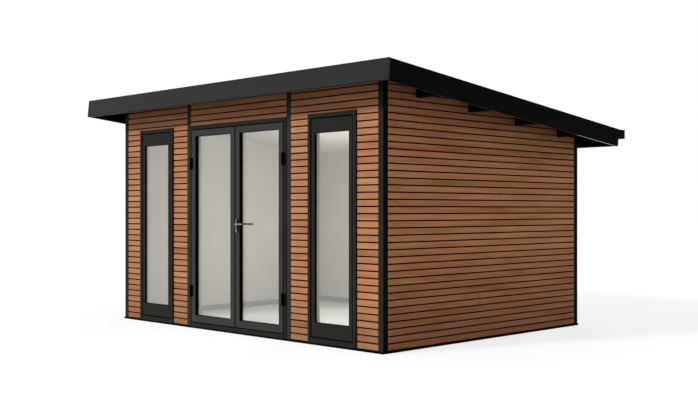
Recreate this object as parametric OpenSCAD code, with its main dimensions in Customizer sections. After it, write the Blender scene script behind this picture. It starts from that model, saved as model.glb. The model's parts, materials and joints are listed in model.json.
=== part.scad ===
// Garden room: a small timber-slatted building with a mono-pitch roof, a pair of
// glazed doors that open outwards and two full-height side windows.
// Millimetres. Origin: the middle of the footprint at ground level.
// +X runs to the right along the front, +Y to the back, +Z up.

/* [Body] */
// Width over the corner posts
body_w = 4000; // [3800:10:4600]
// Depth over the corner posts
body_d = 3050; // [2400:10:4200]
// Height of the base frame that the walls stand on
base_h = 20; // [10:1:50]
// How far the base stands out beyond the corner posts
base_lip = 8; // [0:1:30]
// Thickness of the floor boards on the base
floor_t = 8; // [4:1:20]

/* [Walls] */
// Side of the square corner posts, and depth of the cladding with its battens
post_w = 60; // [45:1:90]
// Thickness of the insulated wall behind the cladding
wall_t = 85; // [60:1:160]
// How far the cladding lies behind the faces of the posts
cladding_inset = 3; // [0:0.5:10]
// Height of the skirting boards
skirting_h = 60; // [30:1:120]
// Thickness of the skirting boards
skirting_t = 15; // [8:1:25]
// Play between skirting boards where they meet in a corner
skirting_gap = 1; // [0.5:0.5:4]

/* [Roof] */
// Height of the roof's front top edge above the ground
roof_h = 2474; // [2400:1:2700]
// Slope of the roof, down towards the back, in degrees
roof_pitch = 5.92; // [3:0.01:7]
// Overhang of the top edge in front of the posts
front_overhang = 276; // [100:1:450]
// Overhang of the top edge behind the posts
back_overhang = 311; // [100:1:450]
// Overhang at each side
side_overhang = 318; // [60:1:450]
// Height of the fascia boards, square to the roof
fascia_h = 187; // [150:1:260]
// Thickness of the fascia boards
fascia_t = 22; // [15:1:40]
// Height of the fascia's edge above the roof sheet
kerb_h = 10; // [4:1:25]
// Thickness of the roof sheet
sheet_t = 3; // [2:0.5:6]
// Thickness of the boarded roof deck
deck_t = 50; // [30:1:70]
// Width of the purlins
purlin_w = 55; // [40:1:80]
// Height of the purlins
purlin_h = 110; // [70:1:130]
// Spacing of the purlins along the slope, counted from the front edge
purlin_pitch = 748; // [500:1:1000]
// Thickness of the ceiling board under the purlins
ceiling_t = 12; // [8:1:20]

/* [Gutter] */
// Width of the gutter, from front to back
gutter_w = 122; // [80:1:160]
// Height of the gutter
gutter_h = 95; // [60:1:130]
// Wall thickness of the gutter
gutter_t = 3; // [2:0.5:5]
// How far the gutter's rim lies below the roof's back edge
gutter_drop = 4; // [0:1:40]
// Width of each gutter bracket
bracket_w = 30; // [15:1:60]
// Number of gutter brackets
bracket_n = 5; // [3:1:9]

/* [Windows] */
// Height of the top of the window frames and of the door frame
head_z = 2110; // [1980:1:2160]
// Width of a window over its frame
window_w = 619; // [500:1:700]
// Distance of each window's centre line from the middle of the front
window_x = 1372; // [1350:1:1400]
// Face width of the window frame's jambs and head
window_frame_w = 44; // [30:1:70]
// Height of the window frame's sill member
window_sill_h = 51; // [35:1:90]
// How far the window frame stands out in front of the posts
window_proud = 13; // [5:1:40]
// How far the sash stands out in front of the posts
sash_proud = 8; // [0:1:30]
// Depth of the sash from front to back
sash_t = 36; // [34:1:56]
// Face width of the sash's stiles
sash_stile_w = 46; // [35:1:80]
// Face height of the sash's top rail
sash_top_h = 129; // [60:1:180]
// Face height of the sash's bottom rail
sash_bottom_h = 132; // [60:1:180]
// How far the glass lies behind the front of the sash
sash_pane_setback = 12; // [8:1:14]

/* [Doors] */
// Width over both door leaves when they are shut
doors_w = 1444; // [1380:1:1460]
// Clearance round each door leaf
door_gap = 5; // [4:0.5:8]
// Face width of the door frame's jambs
jamb_w = 31; // [20:1:40]
// Face height of the door frame's head
door_head_h = 39; // [25:1:60]
// Height of the threshold above the base
threshold_h = 37; // [15:1:60]
// How far the threshold stands out in front of the posts
threshold_proud = 20; // [5:1:40]
// How far the stops reach over the backs of the leaves
stop_lap = 12; // [8:1:18]
// Play between the stop under the head and the stops beside it
stop_play = 1; // [0.5:0.5:4]
// Face width of the vertical trims beside the doors
trim_w = 57; // [40:1:90]
// How far the leaves and the door frame stand out in front of the posts and the trims
leaf_proud = 12; // [5:1:30]
// Thickness of the door leaves
leaf_t = 50; // [46:1:60]
// Face width of the stiles on the hinge side
hinge_stile_w = 64; // [50:1:90]
// Face width of the left leaf's meeting stile
left_meeting_w = 72; // [50:1:100]
// Face width of the right leaf's meeting stile
right_meeting_w = 67; // [52:1:90]
// Face height of the leaves' top rail
top_rail_h = 66; // [50:1:140]
// Face height of the leaves' bottom rail
bottom_rail_h = 74; // [50:1:200]
// Thickness of the double glazing in doors and windows
pane_t = 20; // [12:1:22]
// How far the glass lies behind the front of its leaf
pane_setback = 26; // [16:1:28]

/* [Hinges] */
// Height of each hinge
hinge_h = 118; // [90:1:150]
// Height of the middle of the lower hinges
hinge_low_z = 388; // [250:1:600]
// Height of the middle of the upper hinges
hinge_high_z = 1717; // [1400:1:1850]
// Outer radius of the knuckles
knuckle_r = 9; // [8:0.5:12]
// Radius of the hinge pins
pin_r = 4.5; // [3:0.1:5]
// Radial clearance of the pins in the door's knuckles
pin_play = 0.05; // [0.02:0.01:0.1]
// Gap between knuckles along the pin
knuckle_gap = 0.4; // [0.3:0.1:1]
// Height of the door's knuckle, in the middle of the hinge
door_knuckle_h = 46; // [30:1:60]
// Gap between the knuckles and the face of the leaf
knuckle_stand = 3; // [2.5:0.5:5]
// Width of each hinge plate
hinge_plate_w = 16; // [10:1:20]
// Thickness of the hinge plates
hinge_plate_t = 4; // [2:0.5:6]

/* [Handle] */
// Height of the lever's axis above the ground
lever_z = 1092; // [1000:1:1150]
// Length of the lever from its axis to its tip
lever_l = 128; // [90:1:140]
// Radius of the lever's arm
lever_r = 8; // [6:0.5:10]
// Distance of the arm's middle line from the handle plate
lever_reach = 34; // [30:1:60]
// Radius of the lever's neck, where it turns in the plate
neck_r = 9; // [8:0.5:11]
// Radius of the spindle through the door
spindle_r = 4.5; // [3:0.5:6]
// Clearance round the neck and the spindle
lever_play = 0.3; // [0.2:0.1:0.5]
// Width of the handle plates
plate_w = 35; // [28:1:44]
// Height of the handle plates
plate_h = 130; // [100:1:240]
// Thickness of the handle plates
plate_t = 8; // [5:1:12]
// Distance of the lever's axis below the plates' top
plate_top = 48; // [20:1:50]

/* [Hidden] */
$fn = 48;
overcut = 1;

// Plan of the body
x_out = body_w / 2;
y_front = -body_d / 2;
y_back = body_d / 2;
skin = post_w;
shell_t = skin + wall_t;
room_x = x_out - shell_t;
room_y0 = y_front + shell_t;
room_y1 = y_back - shell_t;

// Roof, in its own sloping frame: v runs down the slope, w stands square to it
roof_w = body_w + 2 * side_overhang;
roof_l = (body_d + front_overhang + back_overhang) / cos(roof_pitch);
roof_y0 = y_front - front_overhang;
sheet_w = -kerb_h;
deck_w = sheet_w - sheet_t;
purlin_top = deck_w - deck_t;
purlin_bottom = purlin_top - purlin_h;
purlin_n = floor((roof_l - fascia_t - purlin_w) / purlin_pitch);

// Back edge of the roof and the gutter behind it
edge_y = roof_y0 + roof_l * cos(roof_pitch);
edge_z = roof_h - roof_l * sin(roof_pitch);
gutter_z1 = edge_z - gutter_drop;
gutter_z0 = gutter_z1 - gutter_h;
gutter_y0 = edge_y;
gutter_y1 = gutter_y0 + gutter_w;

// Windows
window_in = window_x - window_w / 2;
window_out = window_x + window_w / 2;
window_y0 = y_front - window_proud;
frame_y1 = y_front + skin;
sash_y0 = y_front - sash_proud;
sash_in = window_in + window_frame_w;
sash_out = window_out - window_frame_w;
sash_z0 = base_h + window_sill_h;
sash_z1 = head_z - window_frame_w;

// Doors
leaf_x = doors_w / 2;
jamb_x0 = leaf_x + door_gap;
jamb_x1 = jamb_x0 + jamb_w;
trim_x1 = jamb_x1 + trim_w;
leaf_y0 = y_front - leaf_proud;
leaf_y1 = leaf_y0 + leaf_t;
leaf_z0 = base_h + threshold_h + door_gap;
leaf_z1 = head_z - door_head_h - door_gap;
stop_y0 = leaf_y1 + door_gap;
meet_x = door_gap / 2;
rail_z0 = leaf_z0 + bottom_rail_h;
rail_z1 = leaf_z1 - top_rail_h;

// Hinges: the pins stand in front of the gap between leaf and jamb
pin_x = leaf_x + door_gap / 2;
pin_y = leaf_y0 - knuckle_stand - knuckle_r;
plate_start = knuckle_r + knuckle_stand;

// Handle, in the middle of the right leaf's meeting stile
lever_x = meet_x + right_meeting_w / 2;

timber = "#b9865c";
black = "#23241f";
anthracite = "#3c3d39";
lining = "#d8d4cc";
glass = [0.75, 0.82, 0.82, 0.35];
steel = "#b8bab8";

// A box given by its two ends along each axis
module block(x0, x1, y0, y1, z0, z1) {
  translate([x0, y0, z0]) cube([x1 - x0, y1 - y0, z1 - z0]);
}

// The same piece on the right and on the left
module both_sides() {
  children();
  mirror([1, 0, 0]) children();
}

// Places its children in the roof's sloping frame, at the front top edge
module on_slope() {
  translate([0, roof_y0, roof_h]) rotate([-roof_pitch, 0, 0]) children();
}

// Bars across the roof where the purlins lie, each reaching up to the height top
module purlin_bars(top) {
  reach = roof_w / 2 - fascia_t;
  on_slope() for (i = [1:purlin_n]) {
    v = i * purlin_pitch;
    block(-reach, reach, v - purlin_w / 2, v + purlin_w / 2, purlin_bottom, top);
  }
}

// An upright piece cut off along the deck's underside and notched round the purlins
module under_roof(x0, x1, y0, y1, z0) {
  difference() {
    block(x0, x1, y0, y1, z0, roof_h);
    on_slope() block(-roof_w, roof_w, -roof_l, 2 * roof_l, purlin_top, roof_h);
    purlin_bars(deck_w);
  }
}

module base() {
  color(black)
    block(-x_out - base_lip, x_out + base_lip, y_front - base_lip, y_back + base_lip, 0, base_h);
}

module floor() {
  color("#c6c6c2") {
    block(-room_x, room_x, room_y0, room_y1, base_h, base_h + floor_t);
    block(-jamb_x1, jamb_x1, frame_y1, room_y0, base_h, base_h + floor_t);
    both_sides() block(window_in, window_out, frame_y1, room_y0, base_h, base_h + floor_t);
  }
}

module skirting() {
  z0 = base_h + floor_t;
  z1 = z0 + skirting_h;
  side_y1 = room_y1 - skirting_t - skirting_gap;
  color("#8b8984") {
    block(-room_x, room_x, room_y1 - skirting_t, room_y1, z0, z1);
    both_sides() {
      block(room_x - skirting_t, room_x, room_y0, side_y1, z0, z1);
      block(window_out, room_x - skirting_t - skirting_gap, room_y0, room_y0 + skirting_t, z0, z1);
      block(jamb_x1, window_in, room_y0, room_y0 + skirting_t, z0, z1);
    }
  }
}

module front_wall_piers() {
  color(lining) both_sides() {
    block(window_out, x_out - skin, frame_y1, room_y0, base_h, head_z);
    block(jamb_x1, window_in, frame_y1, room_y0, base_h, head_z);
  }
}

module front_wall_header() {
  color(lining) under_roof(-x_out + skin, x_out - skin, frame_y1, room_y0, head_z);
}

module back_wall() {
  color(lining) under_roof(-x_out + skin, x_out - skin, room_y1, y_back - skin, base_h);
}

module right_wall() {
  color(lining) under_roof(room_x, x_out - skin, room_y0, room_y1, base_h);
}

module left_wall() {
  mirror([1, 0, 0]) right_wall();
}

module ceiling() {
  color(lining) intersection() {
    on_slope() block(-room_x, room_x, 0, roof_l, purlin_bottom - ceiling_t, purlin_bottom);
    block(-room_x, room_x, room_y0, room_y1, 0, roof_h);
  }
}

module front_cladding_panels() {
  color(timber) both_sides() {
    block(window_out, x_out - post_w, y_front + cladding_inset, frame_y1, base_h, head_z);
    block(trim_x1, window_in, y_front + cladding_inset, frame_y1, base_h, head_z);
  }
}

module front_cladding_top() {
  color(timber) {
    both_sides() under_roof(trim_x1, x_out - post_w, y_front + cladding_inset, frame_y1, head_z);
    under_roof(-jamb_x1, jamb_x1, y_front + cladding_inset, frame_y1, head_z);
  }
}

module back_cladding() {
  color(timber)
    under_roof(-x_out + post_w, x_out - post_w, y_back - skin, y_back - cladding_inset, base_h);
}

module right_cladding() {
  color(timber)
    under_roof(x_out - skin, x_out - cladding_inset, y_front + post_w, y_back - post_w, base_h);
}

module left_cladding() {
  mirror([1, 0, 0]) right_cladding();
}

module corner_posts() {
  color(black) both_sides() {
    under_roof(x_out - post_w, x_out, y_front, y_front + post_w, base_h);
    under_roof(x_out - post_w, x_out, y_back - post_w, y_back, base_h);
  }
}

module door_trims() {
  color(black) both_sides() under_roof(jamb_x1, trim_x1, y_front, frame_y1, base_h);
}

module window_jambs() {
  color(anthracite) both_sides() {
    block(window_in, sash_in, window_y0, frame_y1, base_h, head_z);
    block(sash_out, window_out, window_y0, frame_y1, base_h, head_z);
  }
}

module window_heads_and_sills() {
  color(anthracite) both_sides() {
    block(sash_in, sash_out, window_y0, frame_y1, base_h, sash_z0);
    block(sash_in, sash_out, window_y0, frame_y1, sash_z1, head_z);
  }
}

module window_sash_stiles() {
  color(anthracite) both_sides() {
    block(sash_in, sash_in + sash_stile_w, sash_y0, sash_y0 + sash_t, sash_z0, sash_z1);
    block(sash_out - sash_stile_w, sash_out, sash_y0, sash_y0 + sash_t, sash_z0, sash_z1);
  }
}

module window_sash_rails() {
  x0 = sash_in + sash_stile_w;
  x1 = sash_out - sash_stile_w;
  color(anthracite) both_sides() {
    block(x0, x1, sash_y0, sash_y0 + sash_t, sash_z0, sash_z0 + sash_bottom_h);
    block(x0, x1, sash_y0, sash_y0 + sash_t, sash_z1 - sash_top_h, sash_z1);
  }
}

module window_panes() {
  x0 = sash_in + sash_stile_w;
  x1 = sash_out - sash_stile_w;
  y0 = sash_y0 + sash_pane_setback;
  color(glass) both_sides()
    block(x0, x1, y0, y0 + pane_t, sash_z0 + sash_bottom_h, sash_z1 - sash_top_h);
}

module door_jambs() {
  color(anthracite) both_sides()
    block(jamb_x0, jamb_x1, leaf_y0, frame_y1, base_h, head_z - door_head_h);
}

module door_head() {
  color(anthracite)
    block(-jamb_x1, jamb_x1, leaf_y0, frame_y1, head_z - door_head_h, head_z);
}

module door_threshold() {
  color(black)
    block(-jamb_x0, jamb_x0, y_front - threshold_proud, frame_y1, base_h, base_h + threshold_h);
}

// Strips behind the leaves: one on each jamb and one under the head
module door_stops() {
  x0 = jamb_x0 - door_gap - stop_lap;
  z1 = head_z - door_head_h;
  color(black) {
    both_sides() block(x0, jamb_x0, stop_y0, frame_y1, base_h + threshold_h, z1);
    block(-x0 + stop_play, x0 - stop_play, stop_y0, frame_y1, z1 - door_gap - stop_lap, z1);
  }
}

// Knuckles are stacked on the pin: the door's in the middle, the frame's above and below it
module knuckle(z0, z1, side) {
  translate([0, 0, z0]) cylinder(r = knuckle_r, h = z1 - z0);
  block(min(0, side * plate_start), max(0, side * plate_start), 0, plate_start, z0, z1);
}

module hinge_plate(side) {
  near = side * plate_start;
  far = side * (plate_start + hinge_plate_w);
  block(min(near, far), max(near, far), plate_start - hinge_plate_t, plate_start,
        -hinge_h / 2, hinge_h / 2);
}

module frame_hinge() {
  half = door_knuckle_h / 2 + knuckle_gap;
  knuckle(-hinge_h / 2, -half, 1);
  knuckle(half, hinge_h / 2, 1);
  hinge_plate(1);
  translate([0, 0, -hinge_h / 2]) cylinder(r = pin_r, h = hinge_h);
}

module door_hinge() {
  difference() {
    union() {
      knuckle(-door_knuckle_h / 2, door_knuckle_h / 2, -1);
      hinge_plate(-1);
    }
    translate([0, 0, -hinge_h]) cylinder(r = pin_r + pin_play, h = 2 * hinge_h);
  }
}

module at_hinges() {
  for (z = [hinge_low_z, hinge_high_z]) translate([pin_x, pin_y, z]) children();
}

module frame_hinges() {
  color(black) both_sides() at_hinges() frame_hinge();
}

module left_door_hinges() {
  color(black) mirror([1, 0, 0]) at_hinges() door_hinge();
}

module right_door_hinges() {
  color(black) at_hinges() door_hinge();
}

module purlins() {
  color(black) purlin_bars(purlin_top);
}

module roof_deck() {
  reach = roof_w / 2 - fascia_t;
  color(black) on_slope() block(-reach, reach, fascia_t, roof_l - fascia_t, purlin_top, deck_w);
}

module roof_sheet() {
  reach = roof_w / 2 - fascia_t;
  color("#2b2d2e") on_slope() block(-reach, reach, fascia_t, roof_l, deck_w, sheet_w);
}

module front_fascia() {
  color(anthracite) on_slope() block(-roof_w / 2, roof_w / 2, 0, fascia_t, -fascia_h, 0);
}

module back_fascia() {
  reach = roof_w / 2 - fascia_t;
  color(black) on_slope() block(-reach, reach, roof_l - fascia_t, roof_l, -fascia_h, deck_w);
}

module right_fascia() {
  color(black) on_slope()
    block(roof_w / 2 - fascia_t, roof_w / 2, fascia_t, roof_l, -fascia_h, 0);
}

module left_fascia() {
  mirror([1, 0, 0]) right_fascia();
}

// A square channel, open at the top and closed at both ends
module gutter() {
  color(black) difference() {
    block(-roof_w / 2, roof_w / 2, gutter_y0, gutter_y1, gutter_z0, gutter_z1);
    block(-roof_w / 2 + gutter_t, roof_w / 2 - gutter_t, gutter_y0 + gutter_t,
          gutter_y1 - gutter_t, gutter_z0 + gutter_t, gutter_z1 + overcut);
  }
}

// Wedges between the leaning back fascia and the upright gutter
module gutter_brackets() {
  reach = roof_w / 2 - fascia_t - bracket_w;
  step = 2 * reach / (bracket_n - 1);
  color(black) for (i = [0:bracket_n - 1]) difference() {
    block(-reach + i * step - bracket_w / 2, -reach + i * step + bracket_w / 2,
          edge_y - fascia_t, edge_y, gutter_z0, gutter_z1 - kerb_h - sheet_t);
    on_slope() block(-roof_w, roof_w, 0, roof_l, -roof_h, roof_h);
  }
}

module stile(x0, x1) {
  block(x0, x1, leaf_y0, leaf_y1, leaf_z0, leaf_z1);
}

module leaf_rails(x0, x1) {
  block(x0, x1, leaf_y0, leaf_y1, leaf_z0, rail_z0);
  block(x0, x1, leaf_y0, leaf_y1, rail_z1, leaf_z1);
}

module leaf_pane(x0, x1) {
  block(x0, x1, leaf_y0 + pane_setback, leaf_y0 + pane_setback + pane_t, rail_z0, rail_z1);
}

module left_door_stiles() {
  color(anthracite) {
    stile(-leaf_x, -leaf_x + hinge_stile_w);
    stile(-meet_x - left_meeting_w, -meet_x);
  }
}

module left_door_rails() {
  color(anthracite) leaf_rails(-leaf_x + hinge_stile_w, -meet_x - left_meeting_w);
}

module left_door_pane() {
  color(glass) leaf_pane(-leaf_x + hinge_stile_w, -meet_x - left_meeting_w);
}

// A round bar along the lever's axis, from y0 to y1
module axle(r, y0, y1) {
  translate([lever_x, y0, lever_z]) rotate([-90, 0, 0]) cylinder(r = r, h = y1 - y0);
}

module right_door_stiles() {
  color(anthracite) {
    stile(leaf_x - hinge_stile_w, leaf_x);
    difference() {
      stile(meet_x, meet_x + right_meeting_w);
      axle(spindle_r + lever_play, leaf_y0 - overcut, leaf_y1 + overcut);
    }
  }
}

module right_door_rails() {
  color(anthracite) leaf_rails(meet_x + right_meeting_w, leaf_x - hinge_stile_w);
}

module right_door_pane() {
  color(glass) leaf_pane(meet_x + right_meeting_w, leaf_x - hinge_stile_w);
}

// One plate on each face of the meeting stile
module handle_plates() {
  z1 = lever_z + plate_top;
  color(steel) for (y = [leaf_y0 - plate_t, leaf_y1]) difference() {
    block(lever_x - plate_w / 2, lever_x + plate_w / 2, y, y + plate_t, z1 - plate_h, z1);
    axle(neck_r + lever_play, y - overcut, y + plate_t + overcut);
  }
}

// Neck, elbow and arm on one side of the door; toward is -1 outside and 1 inside
module lever_arm(face_y, toward) {
  arm_y = face_y + toward * (plate_t + lever_reach);
  neck_y = face_y + toward * lever_play;
  axle(neck_r, min(neck_y, arm_y), max(neck_y, arm_y));
  translate([lever_x, arm_y, lever_z]) {
    sphere(r = neck_r);
    rotate([0, 90, 0]) cylinder(r = lever_r, h = lever_l - lever_r);
    translate([lever_l - lever_r, 0, 0]) sphere(r = lever_r);
  }
}

module lever_handle() {
  color(steel) {
    axle(spindle_r, leaf_y0 - plate_t, leaf_y1 + plate_t);
    lever_arm(leaf_y0, -1);
    lever_arm(leaf_y1, 1);
  }
}

base();
floor();
skirting();
front_wall_piers();
front_wall_header();
back_wall();
left_wall();
right_wall();
ceiling();
front_cladding_panels();
front_cladding_top();
back_cladding();
left_cladding();
right_cladding();
corner_posts();
door_trims();
window_jambs();
window_heads_and_sills();
window_sash_stiles();
window_sash_rails();
window_panes();
door_jambs();
door_head();
door_threshold();
door_stops();
frame_hinges();
purlins();
roof_deck();
roof_sheet();
front_fascia();
back_fascia();
left_fascia();
right_fascia();
gutter();
gutter_brackets();
left_door_stiles();
left_door_rails();
left_door_pane();
left_door_hinges();
right_door_stiles();
right_door_rails();
right_door_pane();
right_door_hinges();
handle_plates();
lever_handle();
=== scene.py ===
# %% [markdown]
# # Dressing a slatted garden room
# The building comes in as a fixed frame of plain solids: posts, walls, doors, roof. In
# this lesson each of them gets the finish of the real thing: timber slats with shadow
# gaps, powder coated frames with rubber gaskets, double glazing, a folded metal roof
# edge. Outlines and places are read from the frame, so nothing is fitted later.

# %% Load the frame
import json
import math
import random

import bmesh
import bpy
from bmesh.types import BMEdge, BMVert
from mathutils import Matrix, Vector


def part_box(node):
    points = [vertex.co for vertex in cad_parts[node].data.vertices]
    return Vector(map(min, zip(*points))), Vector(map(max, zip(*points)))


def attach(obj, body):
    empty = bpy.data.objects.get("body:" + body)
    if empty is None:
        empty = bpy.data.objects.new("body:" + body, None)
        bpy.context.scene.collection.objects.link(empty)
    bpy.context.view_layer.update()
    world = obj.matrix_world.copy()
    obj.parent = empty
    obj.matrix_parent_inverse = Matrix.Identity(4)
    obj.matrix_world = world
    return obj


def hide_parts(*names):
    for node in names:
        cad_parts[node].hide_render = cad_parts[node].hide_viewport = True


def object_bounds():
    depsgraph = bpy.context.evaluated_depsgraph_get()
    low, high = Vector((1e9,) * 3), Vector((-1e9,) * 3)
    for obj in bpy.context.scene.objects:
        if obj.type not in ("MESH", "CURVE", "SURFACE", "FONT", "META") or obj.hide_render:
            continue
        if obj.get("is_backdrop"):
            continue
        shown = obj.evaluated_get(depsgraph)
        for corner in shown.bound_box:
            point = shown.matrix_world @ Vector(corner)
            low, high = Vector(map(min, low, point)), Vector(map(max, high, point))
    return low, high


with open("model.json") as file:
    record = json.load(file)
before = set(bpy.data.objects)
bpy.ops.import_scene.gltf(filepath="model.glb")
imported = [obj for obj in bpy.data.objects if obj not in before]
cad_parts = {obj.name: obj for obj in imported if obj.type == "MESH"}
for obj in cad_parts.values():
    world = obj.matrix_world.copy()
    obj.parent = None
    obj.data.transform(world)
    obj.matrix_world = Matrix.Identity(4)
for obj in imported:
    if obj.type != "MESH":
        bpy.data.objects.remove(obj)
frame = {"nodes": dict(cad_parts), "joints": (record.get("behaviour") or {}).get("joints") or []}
cad_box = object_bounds()

# %% [markdown]
# ## Camera
# A wide building seen from near its right front corner. The camera stands level at
# chest height, so that upright edges stay upright in the render.

# %% Set up the camera
MM = 0.001

camera_data = bpy.data.cameras.new("camera")
camera_data.lens = 51.28
camera_data.sensor_width = 36.0
camera_data.clip_end = 300.0
camera = bpy.data.objects.new("camera", camera_data)
camera.location = (7.7746, -7.7402, 1.2365)
camera.rotation_euler = (math.radians(90.0), 0.0, math.radians(44.8705))
bpy.context.scene.collection.objects.link(camera)
bpy.context.scene.camera = camera
print("camera at", tuple(round(c, 3) for c in camera.location))

# %% [markdown]
# ## Reading sizes from the frame
# A frame node may hold several solids, such as four corner posts. `solids_of` walks
# from vertex to vertex along the edges to find which belong together and gives the box
# of each. The roof slopes, so `SLOPE` is a matrix that stands at its front top edge:
# in its own axes x runs along the front, y down the slope and z square to the roof.

# %% Measure the frame
WELD = 0.01 * MM


def welded(node):
    """A copy of a node's mesh with its loose triangles joined."""
    bm = bmesh.new()
    bm.from_mesh(frame["nodes"][node].data)
    bmesh.ops.remove_doubles(bm, verts=bm.verts, dist=WELD)
    return bm


def solids_of(node, axes=Matrix.Identity(4)):
    """The (lowest, highest) corners of each solid in a node, from left to right."""
    bm = welded(node)
    bmesh.ops.transform(bm, matrix=axes.inverted(), verts=bm.verts)
    unseen = set(bm.verts)
    boxes = []
    while unseen:
        edge_of_walk = [unseen.pop()]
        corners = []
        while edge_of_walk:
            vert = edge_of_walk.pop()
            corners.append(vert.co.copy())
            for edge in vert.link_edges:
                other = edge.other_vert(vert)
                if other in unseen:
                    unseen.remove(other)
                    edge_of_walk.append(other)
        boxes.append((Vector(map(min, zip(*corners))), Vector(map(max, zip(*corners)))))
    bm.free()
    return sorted(boxes, key=lambda box: (round(box[0].x, 4), round(box[0].z, 4)))


fascia_corners = [v.co for v in frame["nodes"]["right_fascia"].data.vertices]
high_corner = max(fascia_corners, key=lambda co: co.z)
back_corner = max(fascia_corners, key=lambda co: co.y)
ROOF_PITCH = math.atan2(high_corner.z - back_corner.z, back_corner.y - high_corner.y)
front_edge = max((v.co for v in frame["nodes"]["front_fascia"].data.vertices), key=lambda co: co.z)
SLOPE = Matrix.Translation((0, front_edge.y, front_edge.z)) @ Matrix.Rotation(-ROOF_PITCH, 4, "X")
print("roof pitch:", round(math.degrees(ROOF_PITCH), 2), "degrees")

# %% [markdown]
# ## Making a piece
# Every new piece ends the same way: normals outwards, mesh into an object at the
# origin, tied to the body it moves with, and the frame nodes it stands for are hidden.

# %% Turn a bmesh into a piece
SMOOTH_UP_TO = math.radians(35)


def new_object(name, bm, materials):
    """An object at the origin with the mesh in bm, which is used up."""
    mesh = bpy.data.meshes.new(name)
    bm.to_mesh(mesh)
    bm.free()
    for material in materials:
        mesh.materials.append(material)
    made = bpy.data.objects.new(name, mesh)
    bpy.context.scene.collection.objects.link(made)
    return made


def make_piece(name, bm, body, slot, materials, replaced=(), smooth=False):
    """Makes a piece that rides on `body` and stands for the nodes in `replaced`."""
    bmesh.ops.recalc_face_normals(bm, faces=bm.faces)
    piece = new_object(name, bm, materials)
    if smooth:
        piece.data.shade_smooth()
        piece.data.set_sharp_from_angle(angle=SMOOTH_UP_TO)
    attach(piece, body)
    if replaced:
        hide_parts(*replaced)
    print(f"{name}: {len(piece.data.polygons)} faces on {body}")


# %% [markdown]
# ## Shapes used again and again
# `block` is a box with its edges eased, as a planer or a folding press leaves them.
# Bevel's defaults differ from the editor's, so affect, segments, profile and material
# are always given. `eased` does the same to a copy of a frame node, whatever its shape:
# triangles in one plane are first dissolved, so that only real edges are rounded. A face
# looks along an axis where its normal has more than `FACING` of it.

# %% Blocks and eased copies
SHARP = math.radians(40)
FLAT = math.radians(0.5)
FACING = 0.5
FINE_R = 0.8 * MM
SMALL_R = 1 * MM
FOLD_R = 1.5 * MM


def only(kind, geom):
    """The elements of one kind in what an operator gives back."""
    return [element for element in geom if isinstance(element, kind)]


def length_along(edge, axis):
    return abs((edge.verts[0].co - edge.verts[1].co)[axis])


def ease(bm, edges, radius):
    bmesh.ops.bevel(bm, geom=edges, offset=radius, segments=2, profile=0.5,
                    affect="EDGES", material=-1, clamp_overlap=True)


def ease_sharp(bm, radius):
    """Eases every edge where two faces meet at more than `SHARP`."""
    ease(bm, [e for e in bm.edges if e.calc_face_angle(0) > SHARP], radius)


def cube(bm, lo, hi):
    """A box from corner lo to corner hi with sharp edges, given back as its vertices."""
    place = Matrix.Translation((lo + hi) / 2) @ Matrix.Diagonal((*(hi - lo), 1))
    return bmesh.ops.create_cube(bm, size=1, matrix=place)["verts"]


def block(bm, lo, hi, radius=0.0, along=None):
    """A box with eased edges. Only edges along one axis are eased if `along` is 0, 1 or 2."""
    verts = cube(bm, Vector(lo), Vector(hi))
    if radius:
        edges = {edge for vert in verts for edge in vert.link_edges}
        if along is not None:
            edges = {e for e in edges if length_along(e, along) > WELD}
        ease(bm, sorted(edges, key=lambda e: tuple(e.verts[0].co + e.verts[1].co)), radius)


def eased(node, radius):
    """A copy of a node's mesh with its sharp edges eased."""
    bm = welded(node)
    bmesh.ops.dissolve_limit(bm, angle_limit=FLAT, verts=bm.verts, edges=bm.edges)
    ease_sharp(bm, radius)
    return bm


def add_mesh(bm, part):
    """Joins the bmesh `part` into bm."""
    mesh = bpy.data.meshes.new("part")
    part.to_mesh(mesh)
    part.free()
    bm.from_mesh(mesh)
    bpy.data.meshes.remove(mesh)


# %% [markdown]
# ## Shader nodes
# One function adds any node: its properties, and for each socket a value, another
# node's output, or the node itself where its first output is meant. Sockets that share
# a name are told apart by number: 6 and 7 are the two colours of a Mix, and 3 is the
# factor of a vector's SCALE. Colours are written as sRGB hex, the way a paint chart
# gives them, and turned to linear light in one place.

# %% Node and colour helpers


def linear(hex_colour):
    """An sRGB hex colour as linear RGBA."""
    parts = [int(hex_colour[i:i + 2], 16) / 255 for i in (1, 3, 5)]
    return (*[p / 12.92 if p <= 0.04045 else ((p + 0.055) / 1.055) ** 2.4 for p in parts], 1.0)


def add(tree, kind, inputs=None, stops=(), **settings):
    """Adds a node to a material. An input is a value, an output, or a node for its first output."""
    node = tree.nodes.new("ShaderNode" + kind)
    for name, value in settings.items():
        setattr(node, name, value)
    for name, value in (inputs or {}).items():
        if isinstance(value, bpy.types.Node):
            value = value.outputs[0]
        if isinstance(value, bpy.types.NodeSocket):
            tree.links.new(value, node.inputs[name])
        else:
            node.inputs[name].default_value = value
    for i, (place, colour) in enumerate(stops):
        elements = node.color_ramp.elements
        element = elements[i] if i < len(elements) else elements.new(place)
        element.position = place
        element.color = linear(colour)
    return node


def new_material(name):
    material = bpy.data.materials.new(name)
    material.use_nodes = True
    material.node_tree.nodes.clear()
    print("material:", name)
    return material, material.node_tree
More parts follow.
